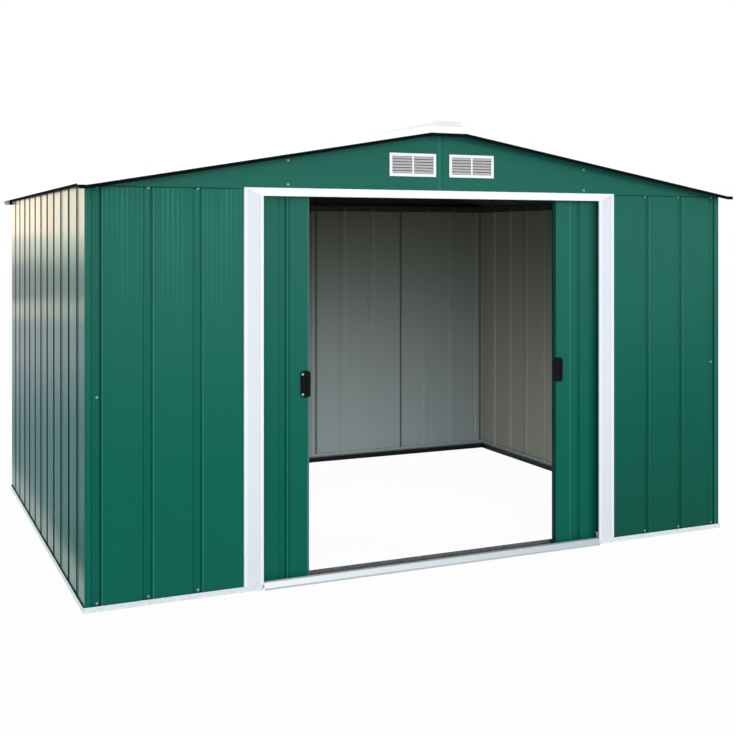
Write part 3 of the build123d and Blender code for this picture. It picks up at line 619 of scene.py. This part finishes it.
def placeCopies(source, name, places, body, material):
    # one piece made of copies of the source, each moved and turned by its own matrix
    bpy.ops.object.select_all(action="DESELECT")
    for place in places:
        twin = source.copy()
        twin.data = source.data.copy()
        bpy.context.scene.collection.objects.link(twin)
        twin.matrix_world = place
        twin.select_set(True)
        bpy.context.view_layer.objects.active = twin
    bpy.ops.object.join()
    piece = bpy.context.object
    piece.name = name
    piece.data.name = name
    bpy.ops.object.transform_apply(location=True, rotation=True, scale=True)
    piece.data.materials.clear()
    piece.data.materials.append(material)
    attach(piece, body)


def placeScrews(name, spots, body="shed", material=boltZinc):
    # each spot is a place and the direction in which the screw's Z points
    places = []
    for spot, direction in spots:
        turn = Vector(direction).to_track_quat("Z", "Y").to_matrix().to_4x4()
        places.append(Matrix.Translation(spot) @ turn)
    placeCopies(screw, name, places, body, material)


wallScrews = {
    "belowTop": 0.007,
    "aboveRail": 0.007,
    "middle": 0.835,
    "aside": 0.005,  # m beside a rib's middle on the front
}
screw = modelScrew()
rows = [shed["railTop"] + wallScrews["aboveRail"], shed["wallTop"] - wallScrews["belowTop"]]
middle = wallScrews["middle"]
longFloor = shed["halfDepth"] - ribs["depth"]
sideFloor = shed["halfLength"] - ribs["depth"]
panelEnd = abs(longRibs[ribs["frontPanel"]]) + 0.01  # a little past the rib beside the doorway
frontPlaces = [(rib + wallScrews["aside"], z) for rib in longRibs if abs(rib) > panelEnd for z in rows]
frontPlaces += [(rib + wallScrews["aside"], middle) for rib in (longRibs[0], longRibs[-1])]
backPlaces = [(rib, z) for rib in longRibs for z in rows]
backPlaces += [(rib, middle) for rib in longRibs[::ribs["perSheet"]]]
placeScrews("front_wall_screws", [((x, -longFloor, z), (0, -1, 0)) for x, z in frontPlaces])
placeScrews("back_wall_screws", [((x, longFloor, z), (0, 1, 0)) for x, z in backPlaces])
lapSides = [sideRibs[0]] + sideRibs[2::ribs["perSheet"]] + [sideRibs[-1]]
sidePlaces = [(rib, z) for rib in sideRibs for z in rows] + [(rib, middle) for rib in lapSides]
for side, sign in (("left", -1), ("right", 1)):
    spots = [((sign * sideFloor, y, z), (sign, 0, 0)) for y, z in sidePlaces]
    placeScrews(side + "_wall_screws", spots)

gableScrews = {"places": (-0.73, 0.756), "aboveWall": 0.015, "belowRoof": 0.032}
slope = math.tan(math.radians(shed["roofAngle"]))
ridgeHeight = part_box("front_gable_left")[1][2]
gableSpots = []
for x in gableScrews["places"]:
    top = ridgeHeight - abs(x) * slope - gableScrews["belowRoof"]
    for z in (shed["wallTop"] + gableScrews["aboveWall"], top):
        gableSpots.append(((x, -shed["gableFace"], z), (0, -1, 0)))
        gableSpots.append(((x, shed["gableFace"], z), (0, 1, 0)))
placeScrews("gable_screws", gableSpots)

roofScrews = {
    "reaches": (0.19, 0.79, 1.50),  # m from the shed's middle
    "sheetFrom": 0.02,  # m from the middle to a roof sheet's upper edge
}
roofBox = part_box("roof_left")
roofDepth = roofBox[1][1] - roofBox[0][1]
roofRibCount = round(roofDepth / ribs["pitch"])
roofPitch = roofDepth / roofRibCount
roofSpots = []
for reach in roofScrews["reaches"]:
    ribHeight = roofBox[1][2] - (reach - roofScrews["sheetFrom"]) * slope
    for index in range(1, roofRibCount):
        for sign in (-1, 1):
            spot = (sign * reach, roofBox[0][1] + index * roofPitch, ribHeight)
            roofSpots.append((spot, (sign * slope, 0, 1)))
placeScrews("roof_screws", roofSpots)

handleScrews = {"fromEdge": 0.0075, "fromEnd": 0.014}
for side, sign in (("left", -1), ("right", 1)):
    low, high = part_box(side + "_door_handle")
    outer = low[0] + handleScrews["fromEdge"] if sign < 0 else high[0] - handleScrews["fromEdge"]
    ends = (low[2] + handleScrews["fromEnd"], high[2] - handleScrews["fromEnd"])
    spots = [((outer, low[1], z), (0, -1, 0)) for z in ends]
    finish, slot = (boltZinc, "galvanised_steel") if sign < 0 else (blackPlastic, "black_plastic")
    placeScrews(side + "_handle_screws", spots, side + "_door", finish)
bpy.data.objects.remove(screw)
print("screws in place")

lapLook = {
    "sheet": 0.0008,
    "flat": 0.012,
    "lift": 0.0002,  # m off the wall's own rib
    "aboveRail": 0.002,
    "shorter": 0.012,  # m less than the wall between its rails
}


def modelLap():
    # edge of the upper sheet of a lap: half a rib and a narrow flat, outward along -Y
    look = lapLook
    height = shed["wallTop"] - shed["railTop"] - look["shorter"]
    foot = shed["railTop"] + look["aboveRail"]
    steps = [
        ((ribs["mouth"] - ribs["floor"]) / 2, -ribs["depth"]),
        (look["flat"], 0),
    ]
    bpy.ops.object.select_all(action="DESELECT")
    bpy.ops.mesh.primitive_plane_add(size=1, rotation=(math.radians(90), 0, 0))
    lap = bpy.context.object
    lap.dimensions = (ribs["floor"] / 2, height, 0)
    lap.location = (ribs["floor"] / 4, ribs["depth"] - look["lift"], foot + height / 2)
    bpy.ops.object.transform_apply(location=True, rotation=True, scale=True)
    for across, out in steps:
        edge = max(corner.co.x for corner in lap.data.vertices)
        for corner in lap.data.vertices:
            corner.select = corner.co.x > edge - 0.0001
        for line in lap.data.edges:
            line.select = all(lap.data.vertices[i].select for i in line.vertices)
        for face in lap.data.polygons:
            face.select = False
        bpy.ops.object.mode_set(mode="EDIT")
        bpy.ops.mesh.select_mode(type="EDGE")
        bpy.ops.mesh.extrude_region_move(TRANSFORM_OT_translate={"value": (across, out, 0)})
        bpy.ops.object.mode_set(mode="OBJECT")
    bpy.ops.object.mode_set(mode="EDIT")
    bpy.ops.mesh.select_all(action="SELECT")
    bpy.ops.mesh.normals_make_consistent(inside=False)
    bpy.ops.object.mode_set(mode="OBJECT")
    if lap.data.polygons[0].normal.y > 0:
        bpy.ops.object.mode_set(mode="EDIT")
        bpy.ops.mesh.flip_normals()
        bpy.ops.object.mode_set(mode="OBJECT")
    thick = lap.modifiers.new("sheet", "SOLIDIFY")
    thick.thickness = look["sheet"]
    thick.offset = 1
    bpy.ops.object.modifier_apply(modifier=thick.name)
    return lap


def placeLaps(name, spots, paint):
    # each spot is a place on the wall's face and a turn about Z in degrees
    places = []
    for x, y, turn in spots:
        places.append(Matrix.Translation((x, y, 0)) @ Matrix.Rotation(math.radians(turn), 4, "Z"))
    placeCopies(lap, name, places, "shed", paint)


lap = modelLap()
depth = shed["halfDepth"]
length = shed["halfLength"]
placeLaps("front_laps", [(rib, -depth, 0) for rib in (longRibs[0], longRibs[-1])], wallPaint["front"])
placeLaps("back_laps", [(rib, depth, 180) for rib in longRibs[::ribs["perSheet"]]], wallPaint["back"])
placeLaps("left_laps", [(-length, rib, -90) for rib in lapSides], wallPaint["left"])
placeLaps("right_laps", [(length, rib, 90) for rib in lapSides], wallPaint["right"])
bpy.data.objects.remove(lap)
print("sheet laps in place")

studio = {
    "floorSize": 80.0,
    "floorHeight": -0.0005,
    "floor": "#dfe2e4",
    "floorWhite": 0.97,  # share of plain white that the camera sees on the floor
    "ambient": 0.7,
    "ambientColour": "#f3f7ff",
}
lamps = {
    "frontSoftbox": {
        "place": (0.2, -13.0, 3.4), "target": (0, -1.0, 0.9), "width": 12.0, "height": 5.0,
        "power": 700.0, "colour": "#fffefa", "spread": 180,
    },
    "leftSoftbox": {
        "place": (-9.0, 1.0, 4.5), "target": (-1.6, 0.0, 1.0), "width": 6.0, "height": 5.0,
        "power": 190.0, "colour": "#fbfdff", "spread": 180,
    },
    "doorwaySoftbox": {  # daylight that falls in at the doorway
        "place": (-0.15, -0.66, 0.4), "target": (1.45, 1.05, 0.1), "width": 1.1, "height": 0.6,
        "power": 4.4, "colour": "#fffef8", "spread": 100,
    },
}


def seen(tree):
    # 1 for camera, glossy and transmission rays
    path = addNode(tree, "ShaderNodeLightPath").outputs
    rays = path["Is Camera Ray"]
    for other in ("Is Glossy Ray", "Is Transmission Ray"):
        rays = addNode(tree, "ShaderNodeMath", {0: rays, 1: path[other]}, operation="MAXIMUM").outputs[0]
    return rays


bpy.ops.object.select_all(action="DESELECT")
bpy.ops.mesh.primitive_plane_add(size=studio["floorSize"], location=(0, 0, studio["floorHeight"]))
floor = bpy.context.object
floor.name = "floor"
floorPaint, tree = startMaterial("paleStudioFloor")
plain = addNode(tree, "ShaderNodeBsdfDiffuse", {"Color": linear(studio["floor"])})
glow = addNode(tree, "ShaderNodeEmission", {"Color": (1, 1, 1, 1), "Strength": 1.0})
share = {0: seen(tree), 1: studio["floorWhite"]}
share = addNode(tree, "ShaderNodeMath", share, operation="MULTIPLY").outputs[0]
both = addNode(tree, "ShaderNodeMixShader", {0: share, 1: plain.outputs[0], 2: glow.outputs[0]})
addNode(tree, "ShaderNodeOutputMaterial", {"Surface": both.outputs[0]})
floor.data.materials.append(floorPaint)

world = bpy.data.worlds.new("studio")
bpy.context.scene.world = world
world.use_nodes = True
tree = world.node_tree
tree.nodes.clear()
soft = {"Color": linear(studio["ambientColour"]), "Strength": studio["ambient"]}
soft = addNode(tree, "ShaderNodeBackground", soft)
backdrop = addNode(tree, "ShaderNodeBackground", {"Color": (1, 1, 1, 1), "Strength": 1.0})
both = addNode(tree, "ShaderNodeMixShader", {0: seen(tree), 1: soft.outputs[0], 2: backdrop.outputs[0]})
addNode(tree, "ShaderNodeOutputWorld", {"Surface": both.outputs[0]})


def softbox(name, setup):
    lamp = bpy.data.lights.new(name, "AREA")
    lamp.shape = "RECTANGLE"
    lamp.size = setup["width"]
    lamp.size_y = setup["height"]
    lamp.energy = setup["power"]
    lamp.color = linear(setup["colour"])[:3]
    lamp.spread = math.radians(setup["spread"])
    holder = bpy.data.objects.new(name, lamp)
    bpy.context.scene.collection.objects.link(holder)
    holder.location = setup["place"]
    aim = Vector(setup["target"]) - Vector(setup["place"])
    holder.rotation_euler = aim.to_track_quat("-Z", "Y").to_euler()
    holder.visible_camera = False
    holder.visible_glossy = False


for name, setup in lamps.items():
    softbox(name, setup)

# Grey and cream cards to the left of the shed, seen only as a reflection in its gloss
cardStrength = 4.8
cards = {
    "standingCard": {
        "middle": (-4.375, 9.5, 2.5),
        "width": 5.25,
        "length": 5.0,
        "tilt": 90,
        "axis": 2,  # the bands of colour change along this one
        "range": (0.0, 2.0),
        "bands": [
            (0.0, "#747177"), (0.36, "#777279"), (0.41, "#928b86"), (0.6, "#948e88"), (0.65, "#686266"),
            (1.05, "#756e71"), (1.24, "#a29c93"), (1.44, "#b3ada1"), (1.49, "#dbc8b4"),
        ],
    },
    "lyingCard": {
        "middle": (-4.33, 2.75, 0.0015),
        "width": 5.34,
        "length": 13.5,
        "tilt": 0,
        "axis": 1,
        "range": (-2.0, 9.5),
        "bands": [
            (-2.0, "#2c2a2e"), (-0.6, "#2a2c30"), (0.5, "#50585f"), (3.2, "#53595f"), (9.4, "#7b757e"),
        ],
    },
}


def reflectorCard(name, setup):
    # a glowing card whose colour changes in bands, each given by its place in metres
    bpy.ops.object.select_all(action="DESELECT")
    tilt = (math.radians(setup["tilt"]), 0, 0)
    bpy.ops.mesh.primitive_plane_add(size=1, location=setup["middle"], rotation=tilt)
    card = bpy.context.object
    card.name = name
    card.scale = (setup["width"], setup["length"], 1)
    bpy.ops.object.transform_apply(location=True, rotation=True, scale=True)
    paint, tree = startMaterial(name + "Glow")
    place = addNode(tree, "ShaderNodeTexCoord").outputs["Object"]
    along = addNode(tree, "ShaderNodeSeparateXYZ", {0: place}).outputs[setup["axis"]]
    low, high = setup["range"]
    along = {"Value": along, "From Min": low, "From Max": high}
    along = addNode(tree, "ShaderNodeMapRange", along).outputs[0]
    ramp = addNode(tree, "ShaderNodeValToRGB", {0: along})
    bands = ramp.color_ramp.elements
    while len(bands) < len(setup["bands"]):
        bands.new(0.5)
    for band, (position, colour) in zip(bands, setup["bands"]):
        band.position = (position - low) / (high - low)
        band.color = linear(colour)
    glow = addNode(tree, "ShaderNodeEmission", {"Color": ramp.outputs[0], "Strength": cardStrength})
    addNode(tree, "ShaderNodeOutputMaterial", {"Surface": glow.outputs[0]})
    card.data.materials.append(paint)
    card.visible_camera = False
    card.visible_diffuse = False
    card.visible_transmission = False
    card.visible_volume_scatter = False
    card.visible_shadow = False


for name, setup in cards.items():
    reflectorCard(name, setup)
print("studio lit")

photoCamera = {
    "place": (-2.346, -5.607, 1.468),
    "yaw": 24.14,
    "focal": 1121.1,  # pixels
    "horizon": 235.8,  # pixels from the top of the frame
    "frame": 736,
    "sensor": 36,  # mm
}
cameraData = bpy.data.cameras.new("photoCamera")
camera = bpy.data.objects.new("photoCamera", cameraData)
bpy.context.scene.collection.objects.link(camera)
camera.location = photoCamera["place"]
camera.rotation_euler = (math.radians(90), 0, -math.radians(photoCamera["yaw"]))
cameraData.sensor_width = photoCamera["sensor"]
cameraData.lens = photoCamera["sensor"] * photoCamera["focal"] / photoCamera["frame"]
cameraData.shift_y = photoCamera["horizon"] / photoCamera["frame"] - 0.5
bpy.context.scene.camera = camera
bpy.context.scene.view_settings.view_transform = "Standard"
